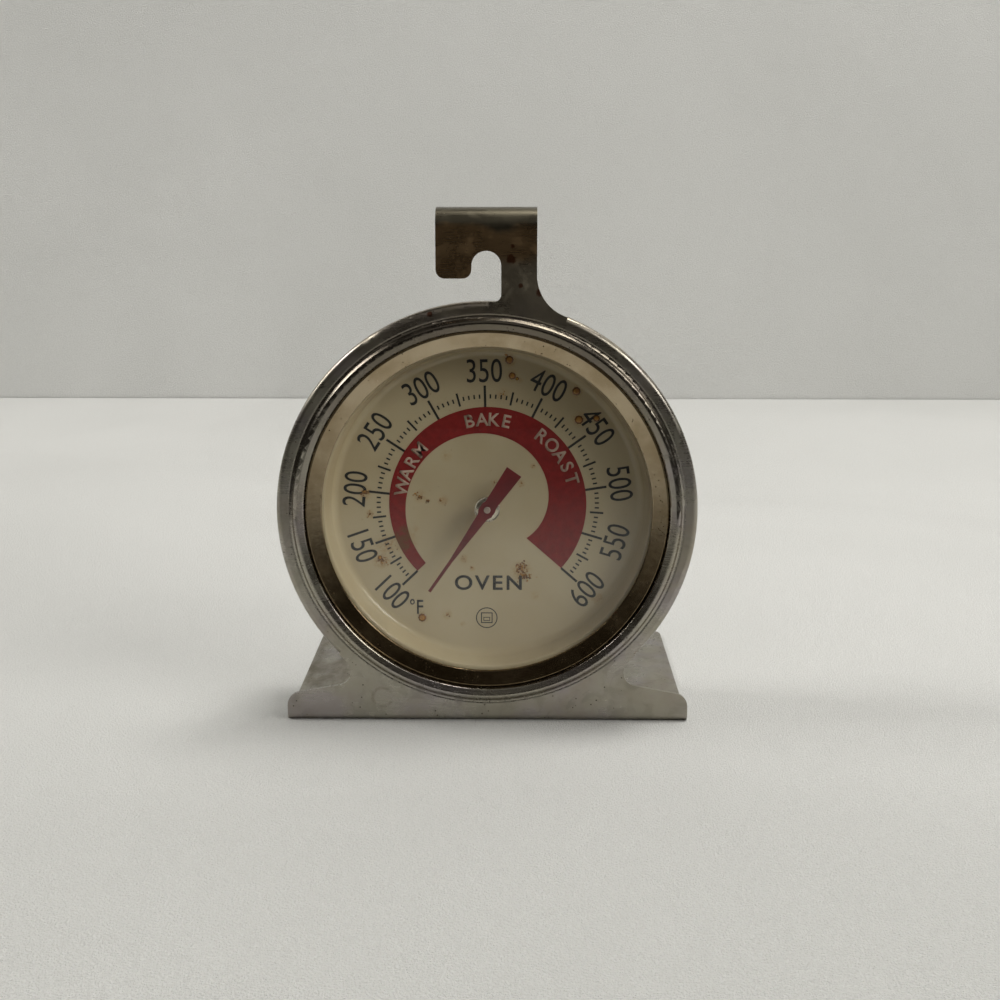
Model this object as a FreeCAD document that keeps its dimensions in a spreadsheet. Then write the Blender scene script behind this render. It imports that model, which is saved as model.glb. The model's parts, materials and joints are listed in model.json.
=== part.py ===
import FreeCAD, Part
import math
import os

import Sketcher
from FreeCAD import Placement, Rotation, Vector

# Oven dial thermometer. Every piece is drawn about the dial axis: X to the right, Y to the rear,
# Z up, with Y = 0 on the flat front face of the ring. The placement of each piece then lifts the
# dial axis to its height above the table and centres the whole object front to back.

os.makedirs("parts", exist_ok=True)
doc = FreeCAD.newDocument("OvenThermometer")
sheet = doc.addObject("Spreadsheet::Sheet", "Sizes")


class Size:
    """A length in millimetres that remembers the sheet expression it comes from."""

    def __init__(self, value, text):
        self.value = value
        self.text = text

    def __add__(self, other):
        other = as_size(other)
        return Size(self.value + other.value, f"({self.text} + {other.text})")

    def __sub__(self, other):
        other = as_size(other)
        return Size(self.value - other.value, f"({self.text} - {other.text})")

    def __rsub__(self, other):
        return as_size(other) - self

    def __mul__(self, factor):
        return Size(self.value * factor, f"({self.text} * {factor})")

    def __neg__(self):
        return Size(-self.value, f"(0 - {self.text})")

    __radd__ = __add__


def as_size(number):
    """A plain number as a Size."""
    if isinstance(number, Size):
        return number
    return Size(float(number), f"({number})")


def driving(alias, value, words):
    """Adds one driving dimension to the sheet and gives it back as a Size."""
    driving.row += 1
    sheet.set(f"A{driving.row}", words)
    sheet.set(f"B{driving.row}", str(value))
    sheet.setAlias(f"B{driving.row}", alias)
    return Size(float(value), f"Sizes.{alias}")


driving.row = 0

# Stand frame: one stamped sheet with a ring, a hanging tab on top and a foot below.
sheet_thick = driving("sheet_thick", 0.6, "thickness of the stand's sheet")
dial_height = driving("dial_height", 37.8, "dial axis above the table")
ring_radius = driving("ring_radius", 36.6, "outside of the ring")
window_radius = driving("window_radius", 31.75, "window in the ring")
bead_rise = driving("bead_rise", 0.9, "bead round the window, proud of the ring")
rim_depth = driving("rim_depth", 2.4, "turned-back rim, front to back")
rim_lip = driving("rim_lip", 1.6, "rim rolled in behind the case flange")
base_depth = driving("base_depth", 53.0, "base plate, front to back")
base_half = driving("base_half", 35.65, "half the width of the base")
total_height = driving("total_height", 89.9, "table to the top of the hanging tab")
hook_half = driving("hook_half", 8.5, "half the width of the hanging tab")
hook_fold = driving("hook_fold", 3.2, "outer radius of the fold on top")
hook_flange = driving("hook_flange", 9.0, "flange folded back on top")
slot_radius = driving("slot_radius", 2.5, "radius of the hanging slot")
slot_height = driving("slot_height", 80.3, "centre of the slot's round end above the table")
tab_height = driving("tab_height", 78.2, "lower edge of the hanging tab above the table")

# Case, bezel and glass.
skin = driving("skin", 0.5, "sheet of the case and the bezel")
bezel_back = driving("bezel_back", 0.8, "front of the bezel's flange behind the ring's face")
bezel_flange = driving("bezel_flange", 34.9, "outside of the bezel's flange")
bezel_outer = driving("bezel_outer", 31.4, "outer edge of the sloping band")
bezel_inner = driving("bezel_inner", 28.85, "inner edge of the sloping band")
band_front = driving("band_front", 0.4, "depth of the band's outer edge")
band_back = driving("band_back", 1.1, "depth of the band's inner edge")
case_flange = driving("case_flange", 35.7, "outside of the case's flange")
case_radius = driving("case_radius", 31.2, "outside of the case wall")
case_back = driving("case_back", 19.5, "rear face of the case")
lens_radius = driving("lens_radius", 30.5, "outside of the glass")
lens_thick = driving("lens_thick", 1.2, "thickness of the glass")
gasket_thick = driving("gasket_thick", 0.5, "thickness of the gasket")

# Dial.
dial_depth = driving("dial_depth", 8.1, "flat of the dial behind the ring's face")
dial_flat = driving("dial_flat", 27.6, "corner between the dial's flat and its wall")
dial_mouth = driving("dial_mouth", 28.6, "inside of the dial's wall at its rim")
dial_skin = driving("dial_skin", 0.4, "thickness of the dial sheet")
dial_hole = driving("dial_hole", 1.5, "clearance hole for the staff")

# Pointer and its staff.
staff_radius = driving("staff_radius", 0.6, "radius of the staff")
running_gap = driving("running_gap", 0.05, "radial clearance in the bearings")
pointer_front = driving("pointer_front", 3.55, "front of the pointer behind the ring's face")
pointer_thick = driving("pointer_thick", 0.3, "thickness of the pointer")
pointer_length = driving("pointer_length", 18.1, "axis to the tip")
tail_length = driving("tail_length", 8.3, "axis to the end of the tail")
hub_disc = driving("hub_disc", 2.27, "radius of the collar behind the pointer")
rest_turn = driving("rest_turn", 34.7, "pointer clockwise from straight down, in degrees")

# Movement behind the dial.
bridge_front = driving("bridge_front", 9.6, "front of the bridge")
bridge_thick = driving("bridge_thick", 0.8, "thickness of the bridge")
bridge_half = driving("bridge_half", 13.4, "half the span of the bridge outside its legs")
foot_length = driving("foot_length", 4.8, "feet of the bridge")
coil_front = driving("coil_front", 12.0, "front edge of the bimetal strip")
coil_width = driving("coil_width", 2.6, "width of the bimetal strip")
coil_thick = driving("coil_thick", 0.4, "thickness of the bimetal strip")
coil_inner = driving("coil_inner", 2.3, "middle of the strip where the coil starts")
coil_outer = driving("coil_outer", 9.4, "middle of the strip where the coil ends")
collet_radius = driving("collet_radius", 1.8, "hub on the staff inside the coil")
COIL_TURNS = 5.25
STUD_RADIUS = 0.9

# The object's front-most point is the bead and its rear-most the base plate.
front_shift = (base_depth - bead_rise) * -0.5
doc.recompute()


# ---------------------------------------------------------------- helpers

def new_body(label, turn=0):
    """A body placed on the dial axis, at the object's real height and depth, turned about Y."""
    body = doc.addObject("PartDesign::Body", label)
    turn = as_size(turn)
    body.Placement = Placement(
        Vector(0, front_shift.value, dial_height.value), Rotation(Vector(0, 1, 0), turn.value))
    body.setExpression("Placement.Base.y", front_shift.text)
    body.setExpression("Placement.Base.z", dial_height.text)
    if turn.value:
        body.setExpression("Placement.Rotation.Angle", turn.text)
    return body


def new_sketch(body, name, role, offset=0):
    """A sketch on one origin plane of the body, moved along the plane's normal."""
    plane = next(p for p in body.Origin.OriginFeatures if p.Role == role)
    sketch = body.newObject("Sketcher::SketchObject", name)
    sketch.AttachmentSupport = [(plane, "")]
    sketch.MapMode = "FlatFace"
    offset = as_size(offset)
    sketch.AttachmentOffset = Placement(Vector(0, 0, offset.value), Rotation())
    sketch.setExpression("AttachmentOffset.Base.z", offset.text)
    return sketch


class Ties:
    """Constraints collected for one sketch and added in one step, sized from the sheet."""

    def __init__(self, sketch):
        self.sketch = sketch
        self.constraints = []
        self.sizes = {}

    def tie(self, *values):
        self.constraints.append(Sketcher.Constraint(*values))

    def size(self, size, *values):
        self.sizes[len(self.constraints)] = size.text
        self.tie(*values, size.value)

    def place(self, geometry, point, x, y):
        self.size(as_size(x), "DistanceX", geometry, point)
        self.size(as_size(y), "DistanceY", geometry, point)

    def apply(self):
        first = self.sketch.ConstraintCount
        self.sketch.addConstraint(self.constraints)
        for number, text in self.sizes.items():
            self.sketch.setExpression(f"Constraints[{first + number}]", text)


def add_line(sketch, start, end):
    """A straight edge, with the point numbers of its start and end."""
    return sketch.addGeometry(Part.LineSegment(start, end)), 1, 2


def add_arc(sketch, start, end, centre):
    """An arc of less than a turn from start to end, with the point numbers of its start and end."""
    first, last = start - centre, end - centre
    anticlockwise = first.cross(last).z > 0
    if not anticlockwise:
        first, last = last, first
    angles = [math.atan2(first.y, first.x), math.atan2(last.y, last.x)]
    if angles[1] < angles[0]:
        angles[1] += 2 * math.pi
    ring = Part.Circle(centre, Vector(0, 0, 1), first.Length)
    index = sketch.addGeometry(Part.ArcOfCircle(ring, *angles))
    return (index, 1, 2) if anticlockwise else (index, 2, 1)


def outline(sketch, corners):
    """Closed outline through corners (x, y) or (x, y, rounding).

    A fourth value makes the edge that leaves the corner an arc of that radius, positive where it
    bulges to the right of the direction of travel, negative where it bulges to the left.
    """
    count = len(corners)
    places = [Vector(as_size(c[0]).value, as_size(c[1]).value, 0) for c in corners]
    rounds = [as_size(c[2]) if len(c) > 2 else as_size(0) for c in corners]
    bulges = [as_size(c[3]) if len(c) > 3 else as_size(0) for c in corners]
    arrive, leave = list(places), list(places)
    for i, here in enumerate(places):
        if rounds[i].value:
            back = (places[i - 1] - here).normalize()
            ahead = (places[(i + 1) % count] - here).normalize()
            reach = rounds[i].value / math.tan(back.getAngle(ahead) / 2)
            arrive[i], leave[i] = here + back * reach, here + ahead * reach

    ties = Ties(sketch)
    edges = []
    for i, start in enumerate(leave):
        end = arrive[(i + 1) % count]
        radius = bulges[i].value
        if radius:
            along = end - start
            side = Vector(along.y, -along.x, 0).normalize() * math.copysign(1, radius)
            depth = math.sqrt(max(radius ** 2 - (along.Length / 2) ** 2, 0))
            edges.append(add_arc(sketch, start, end, (start + end) / 2 - side * max(depth, 1e-5)))
            size = bulges[i] if radius > 0 else -bulges[i]
            ties.size(size, "Radius", edges[i][0])
        else:
            edges.append(add_line(sketch, start, end))

    for i, here in enumerate(places):
        before, after = edges[i - 1], edges[i]
        if not rounds[i].value:
            ties.tie("Coincident", before[0], before[2], after[0], after[1])
            ties.place(after[0], after[1], *corners[i][:2])
            continue
        inward = (arrive[i] + leave[i]) / 2 - here
        centre = here + inward.normalize() * math.hypot(rounds[i].value, (leave[i] - here).Length)
        arc, first, last = add_arc(sketch, arrive[i], leave[i], centre)
        ties.tie("Tangent", before[0], before[2], arc, first)
        ties.tie("Tangent", arc, last, after[0], after[1])
        ties.size(rounds[i], "Radius", arc)
        corner = sketch.addGeometry(Part.Point(here), True)
        ties.place(corner, 1, *corners[i][:2])
        ties.tie("PointOnObject", corner, 1, before[0])
        ties.tie("PointOnObject", corner, 1, after[0])
    ties.apply()
    return sketch


def mirrored(corners):
    """The same corners on the other side of the middle, in the order that carries the outline on."""
    return [(-as_size(x), y, *rest) for x, y, *rest in reversed(corners)]


def circle(sketch, x, y, radius):
    """One circle in a sketch, with its centre and radius from the sheet."""
    x, y, radius = as_size(x), as_size(y), as_size(radius)
    index = sketch.addGeometry(Part.Circle(Vector(x.value, y.value, 0), Vector(0, 0, 1), radius.value))
    ties = Ties(sketch)
    ties.place(index, 3, x, y)
    ties.size(radius, "Radius", index)
    ties.apply()


def revolve(body, name, corners, aside=0):
    """Turns an outline of (depth, radius) corners about the dial axis, or an axis beside it."""
    sketch = outline(new_sketch(body, name + "_section", "YZ_Plane", aside), corners)
    feature = body.newObject("PartDesign::Revolution", name)
    feature.Profile = (sketch, [""])
    feature.ReferenceAxis = (sketch, ["H_Axis"])
    feature.Angle = 360
    doc.recompute()
    return feature


def pad(body, name, sketch, length, kind="One side", rearward=False):
    """Pads a sketch; on the front plane a rearward pad runs towards +Y."""
    feature = body.newObject("PartDesign::Pad", name)
    feature.Profile = (sketch, [""])
    feature.SideType = kind
    feature.Reversed = rearward
    feature.setExpression("Length", as_size(length).text)
    doc.recompute()
    return feature


def pocket(body, name, sketch, length, rearward=True):
    """Cuts a sketch out of the body and makes sure that material went."""
    before = body.Shape.Volume
    feature = body.newObject("PartDesign::Pocket", name)
    feature.Profile = (sketch, [""])
    feature.Reversed = not rearward
    feature.setExpression("Length", as_size(length).text)
    doc.recompute()
    if body.Shape.Volume > before - 1e-3:
        feature.Reversed = rearward
        doc.recompute()
    if body.Shape.Volume > before - 1e-3:
        raise RuntimeError(f"{name} cuts nothing")
    return feature


def edges_where(body, test):
    """Names of the body's edges whose middle point and direction pass a test."""
    names = []
    for number, edge in enumerate(body.Shape.Edges, start=1):
        middle = edge.valueAt((edge.FirstParameter + edge.LastParameter) / 2)
        local = body.Placement.inverse().multVec(middle)
        if edge.Length > 0.05 and test(local, edge):
            names.append(f"Edge{number}")
    return names


def fillet(body, name, radius, test):
    """Rounds the edges of the body that pass a test."""
    base, names = body.Tip, edges_where(body, test)
    if not names:
        raise RuntimeError(f"{name} finds no edge")
    feature = body.newObject("PartDesign::Fillet", name)
    feature.Base = (base, names)
    feature.setExpression("Radius", as_size(radius).text)
    doc.recompute()
    return feature


def polar(radius, degrees):
    """Point at a radius from the dial axis, anticlockwise from +X as seen from the front."""
    angle = math.radians(degrees)
    return as_size(radius) * round(math.cos(angle), 6), as_size(radius) * round(math.sin(angle), 6)


# ---------------------------------------------------------------- stand frame

FOOT_JOIN = 224.2        # where the ring's edge meets the foot, degrees from +X
HOOK_JOIN = 68.0         # where the ring's edge meets the hanging tab on the right
SLOT_SIDE = 86.5         # and on the left, beside the slot
FLAT_ZONE = 35.0         # radius inside the ring's flat outer zone


def stand_frame():
    body = new_body("stand_frame")
    back = sheet_thick
    low = -dial_height
    rim_inside = ring_radius - sheet_thick
    lip_inside = ring_radius - rim_lip

    revolve(body, "ring", [
        (0.5, window_radius),
        (-0.35, window_radius + 0.05, 0.3),
        (-bead_rise, window_radius + 1.45, 0.7),
        (0.12, window_radius + 2.3, 0.5),
        (0.0, window_radius + 2.85, 0.4),
        (0.0, ring_radius, 1.0),
        (rim_depth, ring_radius, 0.55),
        (rim_depth, lip_inside),
        (rim_depth - sheet_thick, lip_inside),
        (rim_depth - sheet_thick, rim_inside, 0.1),
        (back, rim_inside, 0.35),
        (back, window_radius + 2.95, 0.3),
        (back + 0.12, window_radius + 2.25, 0.3),
        (-bead_rise + 0.6, window_radius + 1.4, 0.15),
        (0.5, window_radius + 0.55),
    ])

    # Where the foot and the hanging tab join the ring, the sheet stays flat: no rim behind it.
    for name, start, end in (
        ("rim_gap_foot", FOOT_JOIN, 540 - FOOT_JOIN),
        ("rim_gap_hook", HOOK_JOIN, SLOT_SIDE),
    ):
        middle = (start + end) / 2
        reach = (ring_radius + 3.0) * (1 / math.cos(math.radians((end - start) / 2)))
        corners = [
            polar(FLAT_ZONE, start) + (0, FLAT_ZONE),
            polar(FLAT_ZONE, end),
            polar(ring_radius + 3.0, end),
            polar(reach, middle),
            polar(ring_radius + 3.0, start),
        ]
        sketch = outline(new_sketch(body, name + "_shape", "XZ_Plane", -back), corners)
        pocket(body, name, sketch, rim_depth)

    # Foot: the front plate under the ring, wider than the ring's neck, with sloping shoulders.
    shoulder = 10.6
    rise = math.tan(math.radians(shoulder))
    throat_x, throat_z = -21.5, -30.35
    join_x, join_z = polar(ring_radius, FOOT_JOIN)
    inner_x, inner_z = polar(FLAT_ZONE, FOOT_JOIN)
    end_z = throat_z - (base_half.value + throat_x) * rise
    left = [
        (-base_half, low),
        (-base_half, end_z, 2.5),
        (throat_x, throat_z, 2.6),
        (join_x, join_z),
    ]
    right = mirrored(left)
    corners = left + [(inner_x, inner_z, 0, FLAT_ZONE), (-inner_x, inner_z)] + right
    pad(body, "foot", outline(new_sketch(body, "foot_shape", "XZ_Plane"), corners), back, rearward=True)

    # Base plate, folded back from the foot's lower edge.
    fold = 1.1
    corners = [
        (0.0, low + 1.6),
        (0.0, low, fold),
        (base_depth, low),
        (base_depth, low + sheet_thick),
        (sheet_thick, low + sheet_thick, fold - 0.6),
        (sheet_thick, low + 1.6),
    ]
    base = outline(new_sketch(body, "base_section", "YZ_Plane"), corners)
    pad(body, "base", base, base_half * 2, "Symmetric")

    # The foot's square lower edge is trimmed to the fold.
    trim = outline(new_sketch(body, "fold_trim_shape", "YZ_Plane", -base_half - 1.0), [
        (-0.5, low - 0.5),
        (fold + 0.2, low - 0.5),
        (fold + 0.2, low),
        (0.0, low, fold),
        (0.0, low + fold + 0.2),
        (-0.5, low + fold + 0.2),
    ])
    pocket(body, "fold_trim", trim, base_half * 2 + 2.0, rearward=False)
    fillet(body, "base_corners", 3.0, lambda p, e: (
        abs(p.y - base_depth.value) < 0.01 and abs(abs(p.x) - base_half.value) < 0.01))

    # Hanging tab: slot on the left, neck on the right that runs into the ring.
    top = total_height - dial_height
    bend = top - hook_fold
    slot_centre = slot_height - dial_height
    tab_low = tab_height - dial_height
    neck_x, neck_z = polar(ring_radius, HOOK_JOIN)
    neck_in_x, neck_in_z = polar(35.2, HOOK_JOIN)
    corners = [
        (hook_half, bend),
        (-hook_half, bend),
        (-hook_half, tab_low, 1.5),
        (-slot_radius, tab_low, 1.5),
        (-slot_radius, slot_centre, 0, -slot_radius),
        (slot_radius, slot_centre),
        (slot_radius, 36.5, 1.2),
        (0.4, 36.58),
        (0.4, 35.2),
        (neck_in_x, neck_in_z),
        (neck_x, neck_z),
        (hook_half, 35.78, 7.4),
    ]
    pad(body, "hook", outline(new_sketch(body, "hook_shape", "XZ_Plane"), corners), back, rearward=True)
    corners = [
        (0.0, bend - 0.2),
        (0.0, top, hook_fold),
        (hook_flange, top),
        (hook_flange, top - sheet_thick),
        (sheet_thick, top - sheet_thick, hook_fold - sheet_thick),
        (sheet_thick, bend - 0.2),
    ]
    flange = outline(new_sketch(body, "hook_flange_section", "YZ_Plane"), corners)
    pad(body, "hook_fold_back", flange, hook_half * 2, "Symmetric")
    fillet(body, "flange_corners", 1.5, lambda p, e: (
        abs(p.y - hook_flange.value) < 0.01 and abs(abs(p.x) - hook_half.value) < 0.01))
    return body


# ---------------------------------------------------------------- dial case

rivet_place = bridge_half + 2.2
panel_front = case_back - skin - 0.6
panel_back = case_back - 0.6
PANEL_RADIUS = 20.4


def case_cup():
    """Deep-drawn housing with a flange in front and a shallow round panel pressed in its back."""
    body = new_body("case_cup")
    front = bezel_back + skin
    inside = case_radius - skin
    back_inside = case_back - skin
    revolve(body, "cup", [
        (front, case_flange),
        (front, inside),
        (back_inside, inside, 2.5),
        (back_inside, PANEL_RADIUS + 0.8, 0.5),
        (panel_front, PANEL_RADIUS, 0.5),
        (panel_front, 1.6),
        (panel_back, 1.6),
        (panel_back, PANEL_RADIUS + 0.2, 0.9),
        (case_back, PANEL_RADIUS + 1.0, 0.9),
        (case_back, case_radius, 3.0),
        (front + skin, case_radius, 0.4),
        (front + skin, case_flange),
    ])
    holes = new_sketch(body, "rivet_holes_shape", "XZ_Plane", -case_back)
    for side in (-1, 1):
        circle(holes, rivet_place * side, 0, 1.0)
    pocket(body, "rivet_holes", holes, 2.0, rearward=False)
    return body


def bezel_ring():
    body = new_body("bezel_ring")
    revolve(body, "band", [
        (bezel_back, bezel_flange),
        (bezel_back, bezel_outer + 0.55, 0.2),
        (band_front, bezel_outer, 0.25),
        (band_back, bezel_inner, 0.2),
        (band_back + skin, bezel_inner),
        (band_back + skin, bezel_inner + 0.35),
        (band_front + skin, bezel_outer - 0.1),
        (bezel_back + skin, bezel_outer + 0.25),
        (bezel_back + skin, bezel_flange),
    ])
    return body


lens_front = band_back + skin
lens_back = lens_front + lens_thick
pan_front = lens_back + gasket_thick


def lens():
    body = new_body("lens")
    bevel = 0.2
    revolve(body, "disc", [
        (lens_front, 0.0),
        (lens_front, lens_radius - bevel),
        (lens_front + bevel, lens_radius),
        (lens_back - bevel, lens_radius),
        (lens_back, lens_radius - bevel),
        (lens_back, 0.0),
    ])
    return body


def lens_gasket():
    body = new_body("lens_gasket")
    revolve(body, "washer", [
        (lens_back, dial_mouth + 1.0),
        (lens_back, lens_radius),
        (pan_front, lens_radius),
        (pan_front, dial_mouth + 1.0),
    ])
    return body


def dial_pan():
    body = new_body("dial_pan")
    revolve(body, "pan", [
        (pan_front, lens_radius),
        (pan_front, dial_mouth, 0.5),
        (dial_depth, dial_flat, 1.3),
        (dial_depth, dial_hole),
        (dial_depth + dial_skin, dial_hole),
        (dial_depth + dial_skin, dial_flat + 0.35, 1.7),
        (pan_front + dial_skin, dial_mouth + 0.35, 0.15),
        (pan_front + dial_skin, lens_radius),
    ])
    return body


def dial_spring():
    """Split ring that springs out into the case and holds the dial forward."""
    body = new_body("dial_spring")
    front = pan_front + dial_skin
    inside = case_radius - skin
    revolve(body, "ring", [
        (front, inside - 1.3),
        (front, inside),
        (front + 0.8, inside),
        (front + 0.8, inside - 1.3),
    ])
    gap = outline(new_sketch(body, "gap_shape", "XZ_Plane"), [
        (-3.0, -inside - 1.0),
        (3.0, -inside - 1.0),
        (3.0, -inside + 3.0),
        (-3.0, -inside + 3.0),
    ])
    pocket(body, "gap", gap, front + 2.0)
    return body


# ---------------------------------------------------------------- pointer and staff

def pointer():
    """Tapered needle with a wide tail, cut from thin sheet; drawn pointing down, then turned."""
    body = new_body("pointer", rest_turn)
    right = [
        (0.26, -pointer_length),
        (0.3, -11.2),
        (0.95, -1.5),
        (1.35, -0.75),
        (1.35, 0.5),
        (1.12, 1.1),
        (1.53, tail_length),
    ]
    shape = outline(new_sketch(body, "needle_shape", "XZ_Plane", -pointer_front), right + mirrored(right))
    circle(shape, 0, 0, staff_radius)
    pad(body, "needle", shape, pointer_thick, rearward=True)
    return body


pointer_back = pointer_front + pointer_thick


def pointer_hub():
    body = new_body("pointer_hub")
    revolve(body, "collar", [
        (pointer_back, staff_radius),
        (pointer_back, 1.3),
        (pointer_back + 0.2, hub_disc - 0.25, 0.1),
        (pointer_back + 0.1, hub_disc, 0.08),
        (pointer_back + 0.5, hub_disc, 0.15),
        (pointer_back + 0.5, 1.2, 0.2),
        (pointer_back + 2.2, 1.2),
        (pointer_back + 2.2, staff_radius),
    ])
    return body


staff_front = pointer_front - 0.2
staff_back = case_back - 1.0


def staff():
    body = new_body("staff")
    revolve(body, "spindle", [
        (staff_front, 0.0),
        (staff_front, staff_radius, 0.15),
        (staff_back, staff_radius, 0.3),
        (staff_back + 0.25, 0.0),
    ])
    return body


bush_flange_front = bridge_front - 0.6
bridge_back = bridge_front + bridge_thick
bore_radius = staff_radius + running_gap


def front_bushing():
    body = new_body("front_bushing")
    revolve(body, "bush", [
        (bush_flange_front, bore_radius),
        (bush_flange_front, 2.4, 0.15),
        (bridge_front, 2.4),
        (bridge_front, 1.6),
        (bridge_back, 1.6),
        (bridge_back, bore_radius),
    ])
    return body


def staff_washer():
    """Collar pressed on the staff behind the bridge, so that the staff can't slide forward."""
    body = new_body("staff_washer")
    front = bridge_back + 0.3
    revolve(body, "washer", [
        (front, staff_radius),
        (front, 1.5, 0.1),
        (front + 0.5, 1.5, 0.1),
        (front + 0.5, staff_radius),
    ])
    return body


def rear_bushing():
    """Blind bearing staked in the middle of the case's back."""
    body = new_body("rear_bushing")
    revolve(body, "bush", [
        (panel_front - 1.2, bore_radius),
        (panel_front - 1.2, 2.6, 0.2),
        (panel_front, 2.6),
        (panel_front, 1.6),
        (panel_back, 1.6),
        (panel_back, 2.3),
        (panel_back + 0.45, 1.9, 0.3),
        (panel_back + 0.5, 0.0),
        (staff_back + 0.4, 0.0),
        (staff_back + 0.4, bore_radius),
    ])
    return body


# ---------------------------------------------------------------- movement

def bridge():
    """Strap bent to a hat shape; its feet are riveted to the case's back."""
    body = new_body("bridge")
    foot_end = bridge_half + foot_length
    inner = bridge_half - bridge_thick
    foot_top = panel_front
    right = [
        (foot_end, foot_top),
        (foot_end, foot_top - bridge_thick),
        (bridge_half, foot_top - bridge_thick, 0.3),
        (bridge_half, bridge_front, 1.1),
    ]
    inside = [
        (inner, bridge_back, 0.3),
        (inner, foot_top, 1.1),
    ]
    section = outline(new_sketch(body, "strap_section", "XY_Plane"), (
        right + mirrored(right) + mirrored(inside) + inside))
    pad(body, "strap", section, 8.0, "Symmetric")
    hole = new_sketch(body, "bush_hole_shape", "XZ_Plane", -bridge_front)
    circle(hole, 0, 0, 1.6)
    pocket(body, "bush_hole", hole, bridge_thick + 0.2)
    holes = new_sketch(body, "rivet_holes_shape", "XZ_Plane", -foot_top)
    for side in (-1, 1):
        circle(holes, rivet_place * side, 0, 1.0)
    pocket(body, "rivet_holes", holes, bridge_thick + 0.2, rearward=False)
    return body


def bridge_rivets():
    """Two rivets through the bridge's feet and the case's back, as one group."""
    body = new_body("bridge_rivets")
    foot_front = panel_front - bridge_thick
    for name, side in (("left_rivet", -1), ("right_rivet", 1)):
        revolve(body, name, [
            (foot_front - 0.5, 0.0),
            (foot_front - 0.5, 1.7, 0.4),
            (foot_front, 1.7),
            (foot_front, 1.0),
            (panel_back, 1.0),
            (panel_back, 1.9),
            (panel_back + 0.55, 1.9, 0.5),
            (panel_back + 0.55, 0.0),
        ], rivet_place * side)
    return body


def coil_collet():
    """Hub pressed on the staff that the coil's inner end drives."""
    body = new_body("coil_collet")
    revolve(body, "hub", [
        (coil_front - 0.4, staff_radius),
        (coil_front - 0.4, collet_radius, 0.2),
        (coil_front + coil_width + 0.4, collet_radius, 0.2),
        (coil_front + coil_width + 0.4, staff_radius),
    ])
    return body


def coil_stud():
    """Fixed post on the case's back that holds the coil's outer end."""
    body = new_body("coil_stud")
    place = coil_outer + coil_thick * 0.5 + STUD_RADIUS
    shape = new_sketch(body, "post_shape", "XZ_Plane", -coil_front)
    circle(shape, 0, place, STUD_RADIUS)
    pad(body, "post", shape, panel_front - coil_front, rearward=True)
    return body


def bimetal_coil():
    """Flat spiral of bimetal strip: inner end at the collet, outer end at the fixed post."""
    feature = doc.addObject("Part::Feature", "bimetal_coil")
    steps_per_turn = 16
    growth = (coil_outer.value - coil_inner.value) / COIL_TURNS
    half = coil_thick.value / 2

    def side(offset):
        points = []
        for step in range(int(COIL_TURNS * steps_per_turn) + 1):
            turn = step / steps_per_turn
            radius = coil_inner.value + growth * turn + offset
            angle = 2 * math.pi * turn
            points.append(Vector(radius * math.cos(angle), coil_front.value, radius * math.sin(angle)))
        curve = Part.BSplineCurve()
        curve.interpolate(points)
        return curve.toShape(), points

    inner, inner_points = side(-half)
    outer, outer_points = side(half)
    start = Part.LineSegment(inner_points[0], outer_points[0]).toShape()
    end = Part.LineSegment(inner_points[-1], outer_points[-1]).toShape()
    face = Part.Face(Part.Wire(Part.__sortEdges__([inner, end, outer, start])))
    feature.Shape = face.extrude(Vector(0, coil_width.value, 0))
    feature.Placement = Placement(Vector(0, front_shift.value, dial_height.value), Rotation())
    return feature


# ---------------------------------------------------------------- build, check and write

PIECES = [
    stand_frame, case_cup, bezel_ring, lens, lens_gasket, dial_pan, dial_spring,
    pointer, pointer_hub, staff, front_bushing, staff_washer, rear_bushing,
    bridge, bridge_rivets, coil_collet, coil_stud, bimetal_coil,
]
pieces = [make() for make in PIECES]
doc.recompute()

for item in doc.Objects:
    if "Invalid" in item.State or "Error" in item.State:
        raise RuntimeError(f"{item.Label} failed: {item.State}")
for piece in pieces:
    if piece.Shape.isNull() or not piece.Shape.isValid() or not piece.Shape.Solids:
        raise RuntimeError(f"{piece.Label} has no valid shape")

for piece in pieces:
    piece.Shape.exportStep(f"parts/{piece.Label}.step")
    print(piece.Label, len(piece.Shape.Solids), round(piece.Shape.Volume, 1))
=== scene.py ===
import json
import math
import random

import bmesh
import bpy
from mathutils import Matrix, Vector


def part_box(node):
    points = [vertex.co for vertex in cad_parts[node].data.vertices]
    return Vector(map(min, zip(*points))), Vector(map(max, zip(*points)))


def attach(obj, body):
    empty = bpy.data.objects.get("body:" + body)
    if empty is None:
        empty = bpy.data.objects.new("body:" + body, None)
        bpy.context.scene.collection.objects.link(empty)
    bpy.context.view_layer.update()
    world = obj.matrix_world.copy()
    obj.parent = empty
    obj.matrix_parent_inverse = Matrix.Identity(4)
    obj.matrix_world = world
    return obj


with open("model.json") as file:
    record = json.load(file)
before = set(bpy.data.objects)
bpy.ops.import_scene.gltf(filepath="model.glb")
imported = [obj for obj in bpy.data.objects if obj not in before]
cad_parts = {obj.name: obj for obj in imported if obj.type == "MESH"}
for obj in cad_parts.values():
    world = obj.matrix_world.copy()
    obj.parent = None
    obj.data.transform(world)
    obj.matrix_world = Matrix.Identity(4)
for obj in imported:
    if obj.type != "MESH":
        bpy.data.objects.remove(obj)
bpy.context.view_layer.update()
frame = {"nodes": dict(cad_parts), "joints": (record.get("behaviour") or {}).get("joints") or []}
nodes = frame["nodes"]

MM = 0.001
random.seed(3506)

# Places read from the frame: the dial axis, the ring's front face and the dial's flat.
AXIS_Z = frame["joints"][0]["pos_m"][2]
FRONT_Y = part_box("stand_frame")[0].y + 0.764 * MM
DIAL_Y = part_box("dial_pan")[1].y - 0.4 * MM
BEAD_EDGE = (34.2 * MM, 34.8 * MM)    # radii over which the ring's bead meets its flat flange


# ---------------------------------------------------------------- node helpers

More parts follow.
